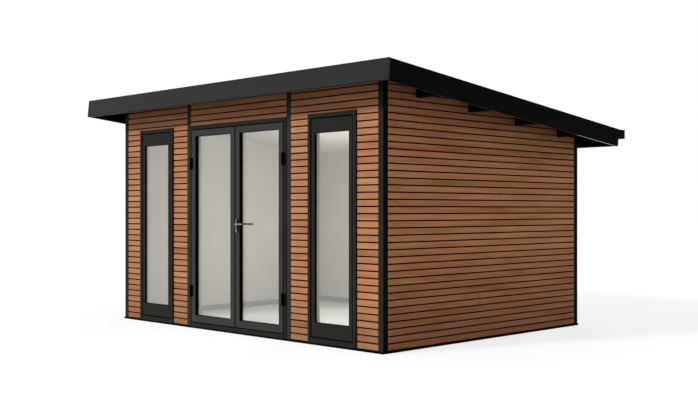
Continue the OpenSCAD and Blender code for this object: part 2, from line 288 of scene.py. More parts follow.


# %% [markdown]
# ## Oiled larch
# The slats are larch, planed and oiled. What the eye gets: every board has its own
# tone, from honey to reddish brown; the grain runs along the board in long streaks;
# here and there sits a small knot. Each board carries a random number in the attribute
# `board`, which picks its tone and slides the grain, so that no two boards match. The
# sides get a redder tint as painted shade, and the boards' edges, which face into the
# gaps, a darker red one, painted shade too. Towards the ground the colour is darkened
# with painted shade, higher up on the sides. Real grain lines are 1 to 3 mm apart, too
# fine at this distance, so wider streaks are drawn along with them.

# %% Oiled larch
STREAK = 12 * MM
GRAIN = 2.5 * MM
GRAIN_SLIDE = (31.0, 17.0, 5.0)
NOISE_SPAN = {"From Min": 0.3, "From Max": 0.7}
PATCH_W = 0.09
KNOT_SPACING = 0.55
KNOT_EDGE = {"From Min": 0.02, "From Max": 0.055, "To Min": 0.75, "To Max": 0.0}
# Painted shade towards the ground: up to this height, down to this share of the colour.
FRONT_GROUND_SHADE = {"From Max": 0.45, "To Min": 0.72}
SIDE_GROUND_SHADE = {"From Max": 1.0, "To Min": 0.62}


def oiled_larch(name, along, ground_shade, tint=(1.0, 1.0, 1.0)):
    """Larch with its grain along axis 0 (X) or 1 (Y), its linear colour times `tint`.

    The third argument says how high above the ground the colour is darkened with painted shade, and how much.
    """
    material, tree = new_material(name)
    board = add(tree, "Attribute", attribute_name="board", attribute_type="GEOMETRY").outputs["Fac"]
    place = add(tree, "TexCoord").outputs["Object"]
    slide = add(tree, "VectorMath", {0: GRAIN_SLIDE, 3: board}, operation="SCALE")
    spot = add(tree, "VectorMath", {0: place, 1: slide}, operation="ADD")

    def stretched(across, along_scale):
        scale = [1 / across] * 3
        scale[along] = along_scale
        return add(tree, "Mapping", {"Vector": spot, "Scale": scale})

    tone = add(tree, "ValToRGB", {"Fac": board}, stops=[
        (0.0, "#a46a43"), (0.25, "#be835d"), (0.5, "#b37856"), (0.75, "#c48d63"), (1.0, "#ba7f5e")])
    patches = add(tree, "TexNoise", {"Vector": stretched(PATCH_W, 1.3), "Scale": 1.0, "Detail": 2.0})
    patch_tone = add(tree, "ValToRGB", {"Fac": patches}, stops=[
        (0.32, "#a1613e"), (0.5, "#bb825d"), (0.68, "#c8976b")])
    base = add(tree, "Mix", {"Factor": 0.5, 6: tone, 7: patch_tone}, data_type="RGBA")
    streaks = add(tree, "TexNoise", {"Vector": stretched(STREAK, 1.8), "Scale": 1.0, "Detail": 3.0,
                                     "Roughness": 0.6})
    streak_shade = add(tree, "MapRange", {"Value": streaks, **NOISE_SPAN, "To Min": 0.8, "To Max": 1.13})
    grain = add(tree, "TexNoise", {"Vector": stretched(GRAIN, 6.0), "Scale": 1.0, "Detail": 4.0,
                                   "Roughness": 0.65})
    grain_shade = add(tree, "MapRange", {"Value": grain, **NOISE_SPAN, "To Min": 0.9, "To Max": 1.08})
    shade = add(tree, "Math", {0: streak_shade, 1: grain_shade}, operation="MULTIPLY")
    grained = add(tree, "VectorMath", {0: base.outputs[2], 3: shade}, operation="SCALE")
    knots = add(tree, "TexVoronoi", {"Vector": stretched(KNOT_SPACING / 5, 1 / KNOT_SPACING), "Scale": 1.0})
    knot = add(tree, "MapRange", {"Value": knots, **KNOT_EDGE})
    colour = add(tree, "Mix", {"Factor": knot, 6: grained, 7: linear("#5a3320")}, data_type="RGBA")
    # The tint paints shade: redder on the sides, darker red on the edges in the gaps.
    tinted = add(tree, "VectorMath", {0: colour.outputs[2], 1: tint}, operation="MULTIPLY")
    height = add(tree, "SeparateXYZ", {"Vector": place}).outputs["Z"]
    # Painted shade: the colour darkens towards the ground.
    ground_darkening = add(tree, "MapRange", {"Value": height, **ground_shade}, interpolation_type="SMOOTHSTEP")
    darkened_colour = add(tree, "VectorMath", {0: tinted, 3: ground_darkening}, operation="SCALE")
    roughness = add(tree, "MapRange", {"Value": streaks, "To Min": 0.55, "To Max": 0.8})
    relief = add(tree, "Bump", {"Height": grain, "Strength": 0.35, "Distance": 0.6 * MM})
    surface = add(tree, "BsdfPrincipled", {
        "Base Color": darkened_colour, "Roughness": roughness, "Normal": relief, "Specular IOR Level": 0.15})
    add(tree, "OutputMaterial", {"Surface": surface})
    return material


# Painted shade: the sides get a redder tint for their warm half shade.
SIDE_SHADE_TINT = (1.0, 0.93, 0.87)
# Painted shade: a darker red for the slats' edges that face into the gaps.
GAP_SHADE_TINT = (0.7, 0.36, 0.2)
larch = [oiled_larch("oiled_larch_along_x", 0, FRONT_GROUND_SHADE),
         oiled_larch("oiled_larch_along_y", 1, SIDE_GROUND_SHADE, SIDE_SHADE_TINT)]
gap_shade_larch_edges = [oiled_larch("gap_shade_larch_edge_x", 0, FRONT_GROUND_SHADE, GAP_SHADE_TINT),
               oiled_larch("gap_shade_larch_edge_y", 1, SIDE_GROUND_SHADE, GAP_SHADE_TINT)]

# %% [markdown]
# ## Powder coat
# The frames, posts and trims are aluminium under a fine-textured powder coat. It is
# baked on in one go, so the colour is even; what gives it away is a fine grain of about
# half a millimetre that breaks up the highlights, and faint smudges where hands and
# rain have been. The grain is drawn at 1.2 mm, the finest that shows here. The doors
# have a satin anthracite coat and the front roof edge a plainer one. Windows and posts
# are a duller dark grey, which on the windows and door jambs is painted shade, and the
# trims beside the doors a lighter grey, painted light. Black is nearly matte, so against
# the white surround its share of mirrored light is set very low; on the sides of posts
# and roof edges it is painted shade. The folded hem of the roof edge is a light dull
# metal, which paints a thin highlight line.

# %% Powder coat
COAT_GRAIN = 1.2 * MM
SMUDGE = 0.35
GLOSS_SPREAD = 0.07


def powder_coat(name, colour, worn, roughness, specular, metallic=0.0):
    """A coat that turns from `colour` to `worn` in smudges, with this middle roughness."""
    material, tree = new_material(name)
    place = add(tree, "TexCoord").outputs["Object"]
    smudges = add(tree, "TexNoise", {"Vector": place, "Scale": 1 / SMUDGE, "Detail": 4.0, "Roughness": 0.6})
    wear = add(tree, "ValToRGB", {"Fac": smudges}, stops=[(0.35, colour), (0.75, worn)])
    texture = add(tree, "TexNoise", {"Vector": place, "Scale": 1 / COAT_GRAIN, "Detail": 1.0})
    gloss = add(tree, "MapRange", {"Value": smudges, "To Min": roughness - GLOSS_SPREAD,
                                   "To Max": roughness + GLOSS_SPREAD})
    relief = add(tree, "Bump", {"Height": texture, "Strength": 0.25, "Distance": 0.1 * MM})
    surface = add(tree, "BsdfPrincipled", {
        "Base Color": wear, "Roughness": gloss, "Normal": relief, "Specular IOR Level": specular,
        "Metallic": metallic})
    add(tree, "OutputMaterial", {"Surface": surface})
    return material


anthracite_coat = powder_coat("anthracite_powder_coat", "#20201e", "#262523", roughness=0.45, specular=0.24)
fascia_coat = powder_coat("anthracite_sheet_coat", "#191918", "#1e1e1c", roughness=0.5, specular=0.14)
# Black also paints shade on the sides of posts and roof edges and in the frames' returns.
black_coat = powder_coat("black_powder_coat", "#0a0a09", "#0f0e0d", roughness=0.6, specular=0.01)
# A duller copy of the door coat: painted shade on the windows and door jambs; the posts and threshold share
# it.
trim_coat = powder_coat("dark_grey_powder_coat", "#282724", "#2d2c29", roughness=0.55, specular=0.03)
# A lighter grey: painted light on the trims beside the doors.
cover_coat = powder_coat("mid_grey_powder_coat", "#333230", "#393836", roughness=0.55, specular=0.03)
# A light dull metal that paints a thin highlight line on the fascias' fold.
fold_highlight_metal = powder_coat("painted_highlight_fold_metal", "#4a4a48", "#555553", roughness=0.3, specular=0.5, metallic=1.0)

# %% [markdown]
# ## Rubber, membrane and stained timber
# Gaskets are black rubber with a dull skin. Behind the slats are black battens and a
# black breather membrane, tinted brown as painted shade of the gaps. The purlins and the
# roof deck are spruce under a black stain: the grain shows only as a slight change of
# tone and in the bump.

# %% Dark matte finishes


def dull_black(name, colour, scale, strength, specular):
    """A matte dark finish whose grain has this scale per metre along X, Y and Z."""
    material, tree = new_material(name)
    place = add(tree, "TexCoord").outputs["Object"]
    grain = add(tree, "TexNoise", {
        "Vector": add(tree, "Mapping", {"Vector": place, "Scale": scale}), "Scale": 1.0, "Detail": 3.0})
    shade = add(tree, "MapRange", {"Value": grain, "To Min": 0.6, "To Max": 1.4})
    tone = add(tree, "VectorMath", {0: linear(colour)[:3], 3: shade}, operation="SCALE")
    relief = add(tree, "Bump", {"Height": grain, "Strength": strength, "Distance": 0.5 * MM})
    surface = add(tree, "BsdfPrincipled", {
        "Base Color": tone, "Roughness": 0.8, "Normal": relief, "Specular IOR Level": specular})
    add(tree, "OutputMaterial", {"Surface": surface})
    return material


gasket_rubber = dull_black("gasket_rubber", "#0a0a09", (400, 400, 400), 0.1, 0.05)
# The membrane is black; its brown tint paints the warm shade in the gaps.
membrane = dull_black("breather_membrane", "#120b08", (60, 60, 60), 0.3, 0.03)
stained_spruce = dull_black("black_stained_spruce", "#100d0b", (3, 180, 180), 0.3, 0.04)
stained_deck = dull_black("black_stained_deck", "#0d0c0c", (180, 3, 60), 0.3, 0.05)

# %% [markdown]
# ## Glass
# Double glazing: two 4 mm sheets of float glass. It is clear with a breath of green and
# mirrors the surroundings more the flatter you look at it. A lamp's light has to get
# through to the room, so for shadow rays the glass is swapped for a plain transparent
# shader with the same tint.

# %% Float glass
GLASS_TINT = linear("#f6f8f7")

float_glass, tree = new_material("float_glass")
clear = add(tree, "BsdfPrincipled", {
    "Base Color": GLASS_TINT, "Roughness": 0.0, "IOR": 1.52, "Transmission Weight": 1.0})
light_through = add(tree, "BsdfTransparent", {"Color": GLASS_TINT})
ray = add(tree, "LightPath")
pane_shader = add(tree, "MixShader", {0: ray.outputs["Is Shadow Ray"], 1: clear, 2: light_through})
add(tree, "OutputMaterial", {"Surface": pane_shader})

# %% [markdown]
# ## Satin stainless steel
# The handle is stainless steel, brushed along its length: a metal with fine lines that
# spread its highlight. A metal keeps the default IOR and takes its colour from the base
# colour.

# %% Satin stainless steel
satin_steel, tree = new_material("satin_stainless_steel")
place = add(tree, "TexCoord").outputs["Object"]
lines = add(tree, "Mapping", {"Vector": place, "Scale": (60, 900, 2500)})
brushing = add(tree, "TexNoise", {"Vector": lines, "Scale": 1.0, "Detail": 2.0})
gloss = add(tree, "MapRange", {"Value": brushing, "To Min": 0.2, "To Max": 0.36})
relief = add(tree, "Bump", {"Height": brushing, "Strength": 0.08, "Distance": 0.1 * MM})
surface = add(tree, "BsdfPrincipled", {
    "Base Color": linear("#8b8c88"), "Metallic": 1.0, "Roughness": gloss, "Normal": relief})
add(tree, "OutputMaterial", {"Surface": surface})

# %% [markdown]
# ## Inside finishes and roof sheet
# Inside, the walls and the ceiling are lined with painted board in sheets 1.2 m wide
# with a fine joint between them. The floor is a pale laminate in planks, the skirting a
# grey moulding. The roof sheet is dull black rubber, uneven in tone.

# %% Painted board, laminate, moulding and rubber sheet
SHEET_W = 1.2
PLANK_W = 0.19
MOULDING_L = 2.4
JOINT_W = 3 * MM


def jointed(name, colour, shade, pitch, axes, roughness):
    """A pale finish with a joint every `pitch` metres across the axes given."""
    material, tree = new_material(name)
    place = add(tree, "TexCoord").outputs["Object"]
    mottle = add(tree, "TexNoise", {"Vector": place, "Scale": 3.0, "Detail": 5.0})
    tone = add(tree, "ValToRGB", {"Fac": mottle}, stops=[(0.3, shade), (0.7, colour)])
    split = add(tree, "SeparateXYZ", {"Vector": place})
    joints = None
    for axis in axes:
        away = add(tree, "Math", {0: split.outputs[axis], 1: pitch / 2}, operation="PINGPONG")
        joint = add(tree, "Math", {0: away, 1: JOINT_W / 2}, operation="LESS_THAN")
        joints = add(tree, "Math", {0: joints, 1: joint}, operation="MAXIMUM") if joints else joint
    dark = add(tree, "Mix", {"Factor": joints, 6: tone, 7: linear(shade)}, data_type="RGBA")
    fine = add(tree, "TexNoise", {"Vector": place, "Scale": 250.0, "Detail": 2.0})
    relief = add(tree, "Math", {0: fine, 1: joints}, operation="SUBTRACT")
    bump = add(tree, "Bump", {"Height": relief, "Strength": 0.15, "Distance": 0.5 * MM})
    surface = add(tree, "BsdfPrincipled", {
        "Base Color": dark.outputs[2], "Roughness": roughness, "Normal": bump})
    add(tree, "OutputMaterial", {"Surface": surface})
    return material


painted_board = jointed("painted_lining_board", "#cbc4bc", "#c4bdb4", SHEET_W, ("X", "Y"), 0.7)
laminate = jointed("pale_laminate", "#dcdcd8", "#d2d2ce", PLANK_W, ("X",), 0.35)
moulding = jointed("grey_moulding", "#8d8b87", "#868480", MOULDING_L, ("X", "Y"), 0.5)
rubber_sheet = dull_black("rubber_roof_sheet", "#232425", (5, 5, 5), 0.5, 0.2)

# %% [markdown]
# ## Slatted cladding
# The walls are clad in horizontal slats with an open gap between them. Modelled as
# real boards, the gaps cast their own shadows. Each board is a cube stretched to size;
# one bevel then rounds all the long edges at once, and the roof's underside cuts off
# what is too tall with a bisecting plane. The random number of each board is stored on
# its faces before the bevel, which hands it on to the faces it makes.

# %% Slat helpers
SLAT_PITCH = 62.2 * MM
SLAT_GAP = 12.0 * MM
SLAT_T = 20 * MM
SLAT_ROUND = 1.5 * MM
SLAT_UNEVEN = 0.6 * MM
END_PLAY = 2 * MM
LEAST_SLAT = 8 * MM
GAP_LINE_Z = 1262.5 * MM

deck = solids_of("roof_deck", SLOPE)[0]
DECK_UNDERSIDE = SLOPE @ Vector((0, 0, deck[0].z))
DECK_UP = SLOPE.to_3x3() @ Vector((0, 0, 1))
random.seed(62)
print("slats:", round(SLAT_PITCH / MM, 1), "mm apart, with gaps of", round(SLAT_GAP / MM, 1), "mm")


def rows(z0, z1, line):
    """Bottom and top of each slat from z0 to z1, where `line` is the height of a gap's middle."""
    first = math.floor((z0 - line) / SLAT_PITCH)
    last = math.ceil((z1 - line) / SLAT_PITCH)
    for k in range(first, last):
        bottom = max(z0, line + k * SLAT_PITCH + SLAT_GAP / 2)
        top = min(z1, line + (k + 1) * SLAT_PITCH - SLAT_GAP / 2)
        if top - bottom > LEAST_SLAT:
            yield bottom, top


def lay_slats(bm, lo, hi, axis, sign, line=GAP_LINE_Z):
    """Boards on the face of box lo-hi that looks along `axis` in direction `sign`."""
    board = bm.faces.layers.float.get("board") or bm.faces.layers.float.new("board")
    along = 1 - axis
    for bottom, top in rows(lo.z, hi.z, line):
        face = (hi if sign > 0 else lo)[axis] - sign * random.uniform(0, SLAT_UNEVEN)
        a, b = lo.copy(), hi.copy()
        a.z, b.z = bottom, top
        a[along] += END_PLAY
        b[along] -= END_PLAY
        a[axis], b[axis] = sorted((face, face - sign * SLAT_T))
        verts = cube(bm, a, b)
        number = random.uniform(0.02, 1.0)
        for made in {f for vert in verts for f in vert.link_faces}:
            made[board] = number


def cut_under_deck(bm):
    """Takes away what reaches above the roof deck's underside and closes the cut."""
    cut = bmesh.ops.bisect_plane(bm, geom=bm.verts[:] + bm.edges[:] + bm.faces[:], dist=WELD,
                                 plane_co=DECK_UNDERSIDE, plane_no=DECK_UP, clear_outer=True)
    return bmesh.ops.holes_fill(bm, edges=only(BMEdge, cut["geom_cut"]), sides=0)["faces"]


def finish_slats(name, bm, axis, replaced):
    """Rounds the boards' long edges, cuts them under the roof and makes the piece."""
    along = 1 - axis
    ease(bm, [e for e in bm.edges if length_along(e, along) > LEAST_SLAT], SLAT_ROUND)
    board = bm.faces.layers.float["board"]
    for sawn in cut_under_deck(bm):
        sawn[board] = max(f[board] for edge in sawn.edges for f in edge.link_faces)
    # Faces that look into the gaps get the darker red tint, painted shade.
    for face in bm.faces:
        face.material_index = int(abs(face.normal[axis]) < FACING)
    make_piece(name, bm, "building", "cladding", [larch[along], gap_shade_larch_edges[along]], replaced)


# %% [markdown]
# The front has three bays. Beside the windows the rows run in two narrow strips, and
# above them over the whole bay; the row that meets the window head is cut round it. Over
# the doors the rows start afresh on the door frame's head.

# %% Slats on the front
strips = solids_of("front_cladding_panels")
tops = solids_of("front_cladding_top")
HEAD_Z = strips[0][1].z
HEAD_TO_FIRST_GAP = 43 * MM
row_at_head = math.ceil((HEAD_Z - GAP_LINE_Z) / SLAT_PITCH)
CUT_ROW_TOP = GAP_LINE_Z + row_at_head * SLAT_PITCH - SLAT_GAP / 2
DOOR_LINE_Z = HEAD_Z + HEAD_TO_FIRST_GAP

bm = bmesh.new()
for lo, hi in strips:
    lay_slats(bm, lo, Vector((hi.x, hi.y, CUT_ROW_TOP)), 1, -1)
for near, far in ((strips[0], strips[1]), (strips[2], strips[3])):
    over_window = Vector((near[1].x - END_PLAY, near[0].y, HEAD_Z))
    lay_slats(bm, over_window, Vector((far[0].x + END_PLAY, near[1].y, CUT_ROW_TOP)), 1, -1)
for lo, hi in (tops[0], tops[2]):
    lay_slats(bm, Vector((lo.x, lo.y, CUT_ROW_TOP)), hi, 1, -1)
lay_slats(bm, *tops[1], 1, -1, DOOR_LINE_Z)
finish_slats("front_slats", bm, 1, ["front_cladding_panels", "front_cladding_top"])

# %% [markdown]
# The back and the sides have no openings, so each is one plain field of rows, and one
# loop lays them all. They take the front's heights, so that rows line up at the posts.

# %% Slats on the back and the sides
for wall, axis, sign in (("back", 1, 1), ("left", 0, -1), ("right", 0, 1)):
    bm = bmesh.new()
    lay_slats(bm, *solids_of(wall + "_cladding")[0], axis, sign)
    finish_slats(wall + "_slats", bm, axis, [wall + "_cladding"])

# %% [markdown]
# ## Behind the slats
# Upright black battens carry the slats, and a black membrane closes the wall behind
# them. Both show only as darkness in the gaps, but keep light from shining through.

# %% Battens and membrane
BATTEN_W = 45 * MM
BATTEN_T = 30 * MM
BATTEN_PITCH = 0.45
MEMBRANE_T = 3 * MM

battens = bmesh.new()
sheets = bmesh.new()
for node, axis, sign in (("front_cladding_panels", 1, -1), ("front_cladding_top", 1, -1),
                         ("back_cladding", 1, 1), ("left_cladding", 0, -1), ("right_cladding", 0, 1)):
    along = 1 - axis
    for lo, hi in solids_of(node):
        face = (hi if sign > 0 else lo)[axis]
        wall = (lo if sign > 0 else hi)[axis]
        a, b = lo.copy(), hi.copy()
        a[axis], b[axis] = sorted((wall, wall + sign * MEMBRANE_T))
        block(sheets, a, b)
        outer = face - sign * (SLAT_T + SLAT_UNEVEN)
        a[axis], b[axis] = sorted((outer, outer - sign * BATTEN_T))
        room = hi[along] - lo[along] - BATTEN_W - 2 * END_PLAY
        count = max(1, math.ceil(room / BATTEN_PITCH))
        for i in range(count + 1):
            a[along] = lo[along] + END_PLAY + i * room / count
            b[along] = a[along] + BATTEN_W
            block(battens, a, b, SMALL_R, along=2)
cut_under_deck(battens)
cut_under_deck(sheets)
make_piece("battens", battens, "building", "black_timber", [stained_spruce])
make_piece("wall_membrane", sheets, "building", "black_timber", [membrane])

# %% [markdown]
# ## Posts, trims and base
# Folded aluminium profiles: their edges have a radius of a millimetre or two, which is
# what catches the light on dark metal. The frame's own solids already have the right
# shape, with tops cut to the slope, so an eased copy of each is all it takes, as it is
# for seals, purlins and skirting. A corner post is dark grey to the front and back and
# black to the sides as painted shade, like the roof edges above it.

# %% Posts, trims and base
bm = eased("corner_posts", FOLD_R)
# The side faces get black: painted shade.
for face in bm.faces:
    face.material_index = int(abs(face.normal.x) > FACING)
make_piece("corner_post_profiles", bm, "building", "black_metal", [trim_coat, black_coat], ["corner_posts"])

for name, node, slot, material, radius in (
        ("door_trim_profiles", "door_trims", "black_metal", cover_coat, FOLD_R),
        ("base_profile", "base", "black_metal", black_coat, 2 * MM),
        ("door_stop_seals", "door_stops", "black_metal", gasket_rubber, FOLD_R),
        ("purlin_beams", "purlins", "black_timber", stained_spruce, 3 * MM),
        ("skirting_boards", "skirting", "skirting", moulding, 4 * MM)):
    make_piece(name, eased(node, radius), "building", slot, [material], [node])

# %% [markdown]
# ## Frames spun in four quarter turns
# A window frame is one cross-section carried round four sides with mitred corners. The
# spin operator does it in four steps of 90 degrees: the cross-section stands on the
# diagonal, so each quarter turn lays down one side. Its points are told apart by their
# distance from the middle, and then each loop is moved to its true place, because the
# top and bottom rails are wider than the stiles. A point is given as (from, offset,
# depth): measured in mm from the member's "out" or "in" edge and back from its face.

# %% Frame helpers
LOOP_STEP = 0.01
SHADED_SIDE = 1
SKIN = 2 * MM


def frame_ring(bm, lo, hi, members, section):
    """A ring in the box lo-hi whose left, right, bottom and top members have these face widths."""
    ring = bmesh.new()
    verts = []
    for i, (_, _, depth) in enumerate(section):
        verts.append(ring.verts.new((1 + i * LOOP_STEP, depth * MM, 1 + i * LOOP_STEP)))
    edges = [ring.edges.new(pair) for pair in zip(verts, verts[1:] + verts[:1])]
    bmesh.ops.spin(ring, geom=verts + edges, cent=(0, 0, 0), axis=(0, 1, 0), dvec=(0, 0, 0),
                   angle=2 * math.pi, steps=4, use_merge=True)
    left, right, bottom, top = members
    for vert in ring.verts:
        edge, offset, _ = section[round((abs(vert.co.x) - 1) / LOOP_STEP)]
        inner = edge == "in"
        step = offset * MM
        x = hi.x - right * inner - step if vert.co.x > 0 else lo.x + left * inner + step
        z = hi.z - top * inner - step if vert.co.z > 0 else lo.z + bottom * inner + step
        vert.co = (x, lo.y + vert.co.y, z)
    add_mesh(bm, ring)


def frames_of(uprights, crossbars):
    """Box and face widths of each frame that two uprights and two crossbars make."""
    posts, bars = solids_of(uprights), solids_of(crossbars)
    for i in range(0, len(posts), 2):
        left, right, bottom, top = posts[i], posts[i + 1], bars[i], bars[i + 1]
        lo, hi = left[0], right[1]
        yield lo, hi, (left[1].x - lo.x, hi.x - right[0].x, bottom[1].z - lo.z, hi.z - top[0].z)


def shade_sides(bm, hinge_edge=math.inf):
    """The second material, black as painted shade, for faces over `SKIN` from front and back, short of the
    hinge edge.
    """
    front, back = (pick(v.co.y for v in bm.verts) for pick in (min, max))
    for face in bm.faces:
        middle = face.calc_center_median()
        if min(middle.y - front, back - middle.y) > SKIN and abs(middle.x) < hinge_edge:
            face.material_index = SHADED_SIDE


# %% [markdown]
# ## Windows
# An outer frame, and in it a sash a little further back, with a shadow groove 10 mm
# wide between the two. The faces are dark grey; the returns into the groove and round
# the glass get black as a second material, painted shade. The two door leaves are
# made by the same loop, with a rebate round them that laps the door frame. Beside the
# hinges the leaf keeps its own colour, because the gap there opens to the eye.

# %% Window frames and sashes
EDGE = 1.5
GROOVE = 7.0
GROOVE_DEPTH = 30
WINDOW_REBATE = (3.0, 22)
DOOR_REBATE = (5.5, 12)
HINGE_STRIP = 15 * MM


def frame_section(depth):
    """Outer frame: eased face, then a groove on the inner edge."""
    return [("out", 0, depth), ("out", 0, EDGE), ("out", EDGE, 0), ("in", -GROOVE - EDGE, 0),
            ("in", -GROOVE, EDGE), ("in", -GROOVE, GROOVE_DEPTH), ("in", 0, GROOVE_DEPTH),
            ("in", 0, depth)]


def leaf_section(depth, rebate, rebate_depth):
    """Sash or door leaf: a rebate on the outer edge, then an eased face."""
    return [("out", 0, depth), ("out", 0, rebate_depth), ("out", rebate, rebate_depth),
            ("out", rebate, EDGE), ("out", rebate + EDGE, 0), ("in", -EDGE, 0), ("in", 0, EDGE),
            ("in", 0, depth - EDGE), ("in", -EDGE, depth)]


for name, uprights, crossbars, body, material, rebate in (
        ("window_frames", "window_jambs", "window_heads_and_sills", "building", trim_coat, None),
        ("window_sashes", "window_sash_stiles", "window_sash_rails", "building", trim_coat, WINDOW_REBATE),
        ("left_door_leaf", "left_door_stiles", "left_door_rails", "left_door", anthracite_coat,
         DOOR_REBATE),
        ("right_door_leaf", "right_door_stiles", "right_door_rails", "right_door", anthracite_coat,
         DOOR_REBATE)):
    bm = bmesh.new()
    for lo, hi, members in frames_of(uprights, crossbars):
        depth = (hi.y - lo.y) / MM
        section = leaf_section(depth, *rebate) if rebate else frame_section(depth)
        frame_ring(bm, lo, hi, members, section)
    reach = max(abs(corner[0]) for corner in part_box(uprights))
    # Returns into the groove and round the glass get black: painted shade.
    shade_sides(bm, math.inf if body == "building" else reach - HINGE_STRIP)
    make_piece(name, bm, body, "anthracite_metal", [material, black_coat], [uprights, crossbars])

# %% [markdown]
# ## Double glazing
# Each unit is two 4 mm sheets with a spacer between them round the edge. On both faces
# a rubber gasket with a sloping lip presses on the glass.

# %% Glass sheets, spacers and gaskets
GLASS_T = 4
SPACER_W = 5
GASKET_W = 3
LIP_W = 1.5
LIP_SLOPE = 1
OUTER_RISE = 5
INNER_RISE = 3
GLASS_PLAY = Vector((0.4 * MM, 0, 0.4 * MM))
ALL_ROUND = (0, 0, 0, 0)

for owner, panes, body in (("window", "window_panes", "building"),
                           ("left_door", "left_door_pane", "left_door"),
                           ("right_door", "right_door_pane", "right_door")):
    glass = bmesh.new()
    gaskets = bmesh.new()
    for lo, hi in solids_of(panes):
        unit = (hi.y - lo.y) / MM
        for near in (lo.y, hi.y - GLASS_T * MM):
            a = Vector((lo.x, near, lo.z)) + GLASS_PLAY
            block(glass, a, Vector((hi.x, near + GLASS_T * MM, hi.z)) - GLASS_PLAY)
        outer_lip = [(0, -OUTER_RISE), (LIP_W, LIP_SLOPE - OUTER_RISE), (GASKET_W, 0), (0, 0)]
        spacer = [(0, GLASS_T), (SPACER_W, GLASS_T), (SPACER_W, unit - GLASS_T), (0, unit - GLASS_T)]
        inner_lip = [(0, unit), (GASKET_W, unit), (LIP_W, unit + INNER_RISE - LIP_SLOPE),
                     (0, unit + INNER_RISE)]
        for section in (outer_lip, spacer, inner_lip):
            frame_ring(gaskets, lo, hi, ALL_ROUND, [("out", *point) for point in section])
    make_piece(owner + "_glass", glass, body, "glass", [float_glass], [panes])
    make_piece(owner + "_gaskets", gaskets, body, "black_metal", [gasket_rubber])

# %% [markdown]
# ## Door frame and threshold
# The jambs and the head stand 4 mm behind the leaves and in front of the trims, which
# draws a shadow line on both sides of them. The threshold is a ribbed aluminium profile.

# %% Door frame and threshold
JAMB_SET_BACK = 4 * MM
RIB_H = 3 * MM
RIB_W = 6 * MM
RIB_N = 4
FIRST_RIB = 8 * MM
LAST_RIB = 30 * MM

bm = bmesh.new()
for node in ("door_jambs", "door_head"):
    for lo, hi in solids_of(node):
        block(bm, lo + Vector((0, JAMB_SET_BACK, 0)), hi, SMALL_R)
# The side faces of the jambs and head get black: painted shade.
shade_sides(bm)
make_piece("door_frame", bm, "building", "anthracite_metal", [trim_coat, black_coat],
           ["door_jambs", "door_head"])

lo, hi = solids_of("door_threshold")[0]
bm = bmesh.new()
block(bm, lo, hi - Vector((0, 0, RIB_H)), FOLD_R)
first, last = lo.y + FIRST_RIB, hi.y - LAST_RIB
for i in range(RIB_N):
    y = first + i * (last - first) / (RIB_N - 1)
    block(bm, (lo.x + RIB_W, y - RIB_W / 2, hi.z - 2 * RIB_H), (hi.x - RIB_W, y + RIB_W / 2, hi.z), SMALL_R)
make_piece("threshold_profile", bm, "building", "black_metal", [trim_coat], ["door_threshold"])

# %% [markdown]
# ## Hinges
# Surface hinges: the frame carries the outer knuckles and the pin, each leaf the middle
# knuckle. They are eased copies of the frame's solids, with three countersunk screws in
# every plate. A screw head is a cone whose top face is inset and pushed in for the
# socket.

# %% Hinges and their screws
SCREW_R = 4 * MM
SCREW_RISE = 0.8 * MM
SCREW_SPREAD = 42 * MM
SCREW_TAPER = 0.8
SOCKET_RIM = 0.35
PLATE_T = 4 * MM
PLATE_W = 16 * MM


def facing_front(x, y, z):
    """Axes at a point, with Z looking to the front."""
    return Matrix.Translation((x, y, z)) @ Matrix.Rotation(math.pi / 2, 4, "X")


def screw_head(bm, x, y, z):
    """A countersunk head with a socket, facing the front."""
    made = bmesh.ops.create_cone(bm, cap_ends=True, segments=12, radius1=SCREW_R,
                                 radius2=SCREW_R * SCREW_TAPER, depth=2 * SCREW_RISE,
                                 matrix=facing_front(x, y, z))["verts"]
    top = min({f for vert in made for f in vert.link_faces}, key=lambda f: f.calc_center_median().y)
    bmesh.ops.inset_individual(bm, faces=[top], thickness=SCREW_R * SOCKET_RIM, use_even_offset=True)
    bmesh.ops.translate(bm, vec=(0, SCREW_RISE, 0), verts=top.verts)


for owner, body in (("frame", "building"), ("left_door", "left_door"), ("right_door", "right_door")):
    node = owner + "_hinges"
    bm = eased(node, FINE_R)
    for lo, hi in solids_of(node):
        outwards = 1 if (abs(hi.x) > abs(lo.x)) == (owner == "frame") else -1
        plate_x = (hi.x if outwards > 0 else lo.x) - outwards * PLATE_W / 2
        middle = (lo.z + hi.z) / 2
        for step in (-SCREW_SPREAD, 0, SCREW_SPREAD):
            screw_head(bm, plate_x, hi.y - PLATE_T, middle + step)
    make_piece(owner + "_hinge_leaves", bm, body, "black_metal", [black_coat], [node], smooth=True)

# %% [markdown]
# ## Lever handle
# The lever is a round bar: straight out of the plate, round a bend and along the door.
# A circle is extruded for the neck, spun a quarter turn for the bend, extruded again
# for the arm, and closed with a dome of shrinking rings. The same steps run on both
# faces of the door: steel outside, black inside.

# %% Lever
lever_joint = next(j for j in frame["joints"] if j["child"] == "lever")
lever_lo, lever_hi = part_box("lever_handle")
AXIS_X, _, AXIS_Z = lever_joint["pos_m"]
plates = sorted(solids_of("handle_plates"), key=lambda box: box[0].y)
BAR_R = 8 * MM
BEND_R = 14 * MM
ARM_CLEAR = 1 * MM
SPINDLE_R = 4.5 * MM
SPINDLE_SHORT = 4 * MM
DOME_RINGS = 5


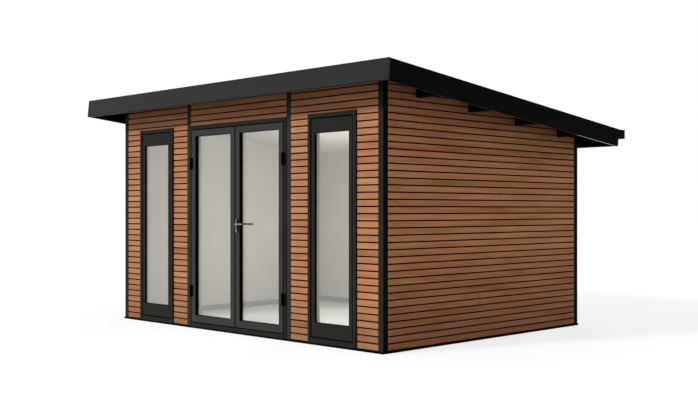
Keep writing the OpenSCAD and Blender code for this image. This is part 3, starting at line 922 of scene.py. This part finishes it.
def lever_bar(bm, face_y, end_y, tip_x):
    """From the plate's face out to the arm's outermost depth end_y, and along to tip_x."""
    outwards = 1 if end_y > face_y else -1
    arm_y = end_y - outwards * (BAR_R + ARM_CLEAR)
    bend_y = arm_y - outwards * BEND_R
    ring = bmesh.ops.create_circle(bm, segments=24, radius=BAR_R,
                                   matrix=facing_front(AXIS_X, face_y, AXIS_Z))["verts"]

    def run(edges, way):
        """Extrudes a ring of edges and gives the ring at the far end."""
        grown = bmesh.ops.extrude_edge_only(bm, edges=edges)["geom"]
        moved = only(BMVert, grown)
        bmesh.ops.translate(bm, vec=way, verts=moved)
        return [e for e in only(BMEdge, grown) if all(vert in moved for vert in e.verts)]

    rim = run(list({e for vert in ring for e in vert.link_edges}), (0, bend_y - face_y, 0))
    bent = bmesh.ops.spin(bm, geom=rim, cent=(AXIS_X + BEND_R, bend_y, AXIS_Z), axis=(0, 0, 1),
                          angle=-outwards * math.pi / 2, steps=8, dvec=(0, 0, 0))["geom_last"]
    rim = run(only(BMEdge, bent), (tip_x - BAR_R - AXIS_X - BEND_R, 0, 0))
    step = math.pi / 2 / (DOME_RINGS + 0.5)
    for i in range(DOME_RINGS):
        before, now = i * step, (i + 1) * step
        rim = run(rim, (BAR_R * (math.sin(now) - math.sin(before)), 0, 0))
        shrink = math.cos(now) / math.cos(before)
        bmesh.ops.scale(bm, vec=(1, shrink, shrink), verts=list({v for e in rim for v in e.verts}),
                        space=Matrix.Translation((0, -arm_y, -AXIS_Z)))
    bmesh.ops.contextual_create(bm, geom=rim)


bm = bmesh.new()
outer_face, inner_face = plates[0][0].y, plates[1][1].y
lever_bar(bm, outer_face + ARM_CLEAR, lever_lo.y, lever_hi.x)
lever_bar(bm, inner_face - ARM_CLEAR, lever_hi.y, lever_hi.x)
middle_y = (outer_face + inner_face) / 2
bmesh.ops.create_cone(bm, cap_ends=True, segments=16, radius1=SPINDLE_R, radius2=SPINDLE_R,
                      depth=inner_face - outer_face - SPINDLE_SHORT,
                      matrix=facing_front(AXIS_X, middle_y, AXIS_Z))
bmesh.ops.holes_fill(bm, edges=[e for e in bm.edges if e.is_boundary], sides=0)
for face in bm.faces:
    face.material_index = int(face.calc_center_median().y > middle_y)
make_piece("lever_bars", bm, "lever", "door_steel", [satin_steel, black_coat], ["lever_handle"], smooth=True)

# %% [markdown]
# Each plate is black, with a strip of stainless steel along the edge next to the other
# leaf. The rosette under the lever and the lock cylinder below it are steel as well:
# short cylinders whose rims are eased with a bevel.

# %% Handle plates and lock cylinder
STRIP_W = 14 * MM
STRIP_RISE = 1.5 * MM
LOCK_DROP = 68 * MM
LOCK_R = 8 * MM
ROSETTE_R = BAR_R + 3.5 * MM

backs = bmesh.new()
steel = bmesh.new()
for (lo, hi), inwards in zip(plates, (1, -1)):
    face_y = lo.y if inwards > 0 else hi.y
    sunk = inwards * STRIP_RISE
    block(steel, lo, (lo.x + STRIP_W, hi.y, hi.z), FOLD_R)
    a, b = Vector((lo.x + STRIP_W, lo.y, lo.z)), hi.copy()
    (a if inwards > 0 else b).y += sunk
    block(backs, a, b, FOLD_R)
    for radius, z in ((LOCK_R, AXIS_Z - LOCK_DROP), (ROSETTE_R, AXIS_Z)):
        made = bmesh.ops.create_cone(steel, cap_ends=True, segments=32, radius1=radius, radius2=radius,
                                     depth=2 * STRIP_RISE,
                                     matrix=facing_front(AXIS_X, face_y + sunk, z))["verts"]
        rim = {e for vert in made for e in vert.link_edges if e.calc_face_angle(0) > SHARP}
        ease(steel, list(rim), FINE_R)
make_piece("handle_backplates", backs, "right_door", "door_steel", [black_coat], ["handle_plates"])
make_piece("handle_steel", steel, "right_door", "door_steel", [satin_steel], smooth=True)

# %% [markdown]
# ## Roof edge
# A folded metal fascia runs round the roof: a capping over the top edge, a flat face
# set back a little, and a hem at the bottom whose lower edge is folded in at 45 degrees.
# One cross-section serves all four sides. It is drawn as a face, extruded along its
# run, and placed in the roof's own sloping axes. The front is anthracite; the other
# sides are black as painted shade, and their folded edge takes a light metal, a painted
# highlight line.

# %% Fascias
CAP_H = 20
HEM_H = 18
SET_BACK = 1.5
ROUND = 3.0
FOLD = 5.0


def fascia_section(depth, height):
    """(inward, up) in mm from the outer top edge."""
    return [(FOLD, -height), (0, FOLD - height), (0, HEM_H - height), (SET_BACK, HEM_H + SET_BACK - height),
            (SET_BACK, -CAP_H - SET_BACK), (0, -CAP_H), (0, -ROUND), (ROUND, 0), (depth - ROUND, 0),
            (depth, -ROUND), (depth, -height)]


def extruded(bm, section, place, length):
    """A face drawn in the YZ plane of `place`, extruded along its X axis."""
    outline = [bm.verts.new(place @ Vector((0, a * MM, b * MM))) for a, b in section]
    face = bmesh.ops.contextual_create(bm, geom=outline)["faces"]
    grown = bmesh.ops.extrude_face_region(bm, geom=face, use_keep_orig=True)["geom"]
    bmesh.ops.translate(bm, vec=place.to_3x3() @ Vector((length, 0, 0)), verts=only(BMVert, grown))


# Sides: black as painted shade, and a light metal on the fold as a painted highlight.
PAINTED_SIDES_FINISH = ("black_metal", [black_coat, fold_highlight_metal])
FRONT_FINISH = ("anthracite_metal", [fascia_coat, fascia_coat])

for side, turn, corner, finish in (("front", 0, (0, 0), FRONT_FINISH), ("right", 90, (1, 0), PAINTED_SIDES_FINISH),
                                   ("back", 180, (1, 1), PAINTED_SIDES_FINISH), ("left", -90, (0, 1), PAINTED_SIDES_FINISH)):
    box = solids_of(side + "_fascia", SLOPE)[0]
    start = Vector((box[corner[0]].x, box[corner[1]].y, box[1].z))
    size = box[1] - box[0]
    run, depth = (size.x, size.y) if turn in (0, 180) else (size.y, size.x)
    bm = bmesh.new()
    extruded(bm, fascia_section(depth / MM, size.z / MM),
             SLOPE @ Matrix.Translation(start) @ Matrix.Rotation(math.radians(turn), 4, "Z"), run)
    # The bottom fold takes the second material: on the sides a painted highlight.
    for face in bm.faces:
        middle = SLOPE.inverted() @ face.calc_center_median()
        face.material_index = int(box[0].z < middle.z < box[0].z + FOLD * MM)
    make_piece(side + "_fascia_fold", bm, "building", *finish, [side + "_fascia"])

# %% [markdown]
# ## Roof covering
# A black rubber sheet lies on the deck between the raised edges. It comes in strips,
# and where two strips overlap there is a flat welded seam.

# %% Roof seams
SEAM_W = 60 * MM
SEAM_H = 2 * MM
SEAM_PITCH = 1.15

sheet_lo, sheet_hi = solids_of("roof_sheet", SLOPE)[0]
bm = bmesh.new()
count = int((sheet_hi.x - sheet_lo.x) / SEAM_PITCH)
for i in range(1, count + 1):
    x = (i - (count + 1) / 2) * SEAM_PITCH
    block(bm, (x - SEAM_W / 2, sheet_lo.y, sheet_hi.z),
          (x + SEAM_W / 2, sheet_hi.y, sheet_hi.z + SEAM_H), SMALL_R)
bmesh.ops.transform(bm, matrix=SLOPE, verts=bm.verts)
make_piece("roof_sheet_seams", bm, "building", "roof_sheet", [rubber_sheet])

# %% [markdown]
# ## Gutter
# A square channel behind the low edge of the roof, folded from one sheet, with the
# outer rim turned in. It hangs on flat straps, and each end is closed by a cap.

# %% Gutter channel, caps and straps
LIP = 12
STRAP_W = 25 * MM
STRAP_T = 2 * MM
STRAP_R = 0.5 * MM
CAP_T = 3 * MM
WALL = 3

lo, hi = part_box("gutter")
width, height = (hi.y - lo.y) / MM, (hi.z - lo.z) / MM
bm = bmesh.new()
extruded(bm, [(0, 0), (width, 0), (width, height), (width - LIP, height), (width - LIP, height - WALL),
              (width - WALL, height - WALL), (width - WALL, WALL), (WALL, WALL), (WALL, height), (0, height)],
         Matrix.Translation((lo.x + CAP_T, lo.y, lo.z)), hi.x - lo.x - 2 * CAP_T)
ease_sharp(bm, FINE_R)
for x in (lo.x, hi.x - CAP_T):
    block(bm, (x, lo.y, lo.z), (x + CAP_T, hi.y, hi.z), SMALL_R)
for strap_lo, strap_hi in solids_of("gutter_brackets"):
    x = (strap_lo.x + strap_hi.x) / 2
    block(bm, (x - STRAP_W / 2, lo.y, hi.z - STRAP_T - WALL * MM),
          (x + STRAP_W / 2, hi.y - WALL * MM, hi.z - WALL * MM), STRAP_R)
make_piece("gutter_channel", bm, "building", "black_metal", [black_coat], ["gutter"])

# %% [markdown]
# ## Frame nodes that stay
# Some solids of the frame already have their final shape: walls, ceiling, floor, roof
# deck, roof sheet and gutter brackets. They keep their meshes and only get a finish.

# %% Finishes on frame nodes
for material, nodes in (
        (painted_board, ("front_wall_piers", "front_wall_header", "back_wall", "left_wall", "right_wall",
                         "ceiling")),
        (laminate, ("floor",)),
        (stained_deck, ("roof_deck",)),
        (rubber_sheet, ("roof_sheet",)),
        (black_coat, ("gutter_brackets",))):
    for node in nodes:
        mesh = frame["nodes"][node].data
        mesh.materials.clear()
        mesh.materials.append(material)
print("finished in place:", [n for n, o in frame["nodes"].items() if not o.hide_render])

# %% [markdown]
# ## Studio
# A pale floor without a visible end, an even white surround, and a soft sun from the
# front left, so low that the shadow of the eaves ends at the doors' head. The surround
# is white to the eye and in reflections, but lights the building more gently, so that
# the sun models the front and leaves the right side in half shade. The floor is lifted
# the same way and still takes shadows. A small lamp in the room keeps it from looking
# like a cave through the glass; it is hidden from the eye and from reflections.

# %% Floor, surround and lamp
FLOOR_R = 120.0
FLOOR_GLOW = 0.72
SURROUND = 0.69
SUN_STRENGTH = 1.88
SUN_SPREAD = math.radians(9)
SUN_PLACE = (-8.0, -22.5, 13.7)
ROOM_LAMP_W = 47.0
ROOM_LAMP_SIZE = 0.5
ROOM_LAMP_Z = 1.15

scene = bpy.context.scene
scene.view_settings.view_transform = "Standard"


def seen_directly(tree):
    """1 for rays from the eye, from a mirror or through glass, and 0 for light that spreads."""
    ray = add(tree, "LightPath")
    mirrored = add(tree, "Math", {0: ray.outputs["Is Camera Ray"], 1: ray.outputs["Is Glossy Ray"]},
                   operation="MAXIMUM")
    return add(tree, "Math", {0: mirrored, 1: ray.outputs["Is Transmission Ray"]}, operation="MAXIMUM")


floor_finish, tree = new_material("studio_floor")
matte = add(tree, "BsdfDiffuse", {"Color": linear("#999997")})
glow_strength = add(tree, "Math", {0: seen_directly(tree), 1: FLOOR_GLOW}, operation="MULTIPLY")
glow = add(tree, "Emission", {"Strength": glow_strength})
both = add(tree, "AddShader", {0: matte, 1: glow})
add(tree, "OutputMaterial", {"Surface": both})

bm = bmesh.new()
bmesh.ops.create_circle(bm, cap_ends=True, segments=64, radius=FLOOR_R)
new_object("studio_floor", bm, [floor_finish])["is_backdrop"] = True

world = bpy.data.worlds.new("surround")
scene.world = world
world.use_nodes = True
tree = world.node_tree
tree.nodes.clear()
strength = add(tree, "MapRange", {"Value": seen_directly(tree), "To Min": SURROUND, "To Max": 1.0})
surround = add(tree, "Background", {"Color": linear("#ffffff"), "Strength": strength})
add(tree, "OutputWorld", {"Surface": surround})


def hang_lamp(name, kind, energy, place):
    lamp = bpy.data.objects.new(name, bpy.data.lights.new(name, kind))
    lamp.data.energy = energy
    lamp.location = place
    scene.collection.objects.link(lamp)
    return lamp


sun = hang_lamp("key_lamp", "SUN", SUN_STRENGTH, SUN_PLACE)
sun.data.angle = SUN_SPREAD
sun.rotation_euler = (-sun.location).to_track_quat("-Z", "Y").to_euler()

room_lo, room_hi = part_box("ceiling")
room_lamp = hang_lamp("room_lamp", "POINT", ROOM_LAMP_W, (0, (room_lo.y + room_hi.y) / 2, ROOM_LAMP_Z))
room_lamp.data.shadow_soft_size = ROOM_LAMP_SIZE
room_lamp.visible_camera = False
room_lamp.visible_glossy = False
room_lamp.visible_transmission = False
print("surround", SURROUND, "sun", SUN_STRENGTH, "room lamp", ROOM_LAMP_W, "W")

# %% [markdown]
# The finished pieces must stay inside the frame's box. Both boxes are printed.

# %% Print the sizes and finish
seen_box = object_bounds()
for label, box in (("frame box", cad_box), ("dressed box", seen_box)):
    print(label, [[round(c, 4) for c in corner] for corner in box])
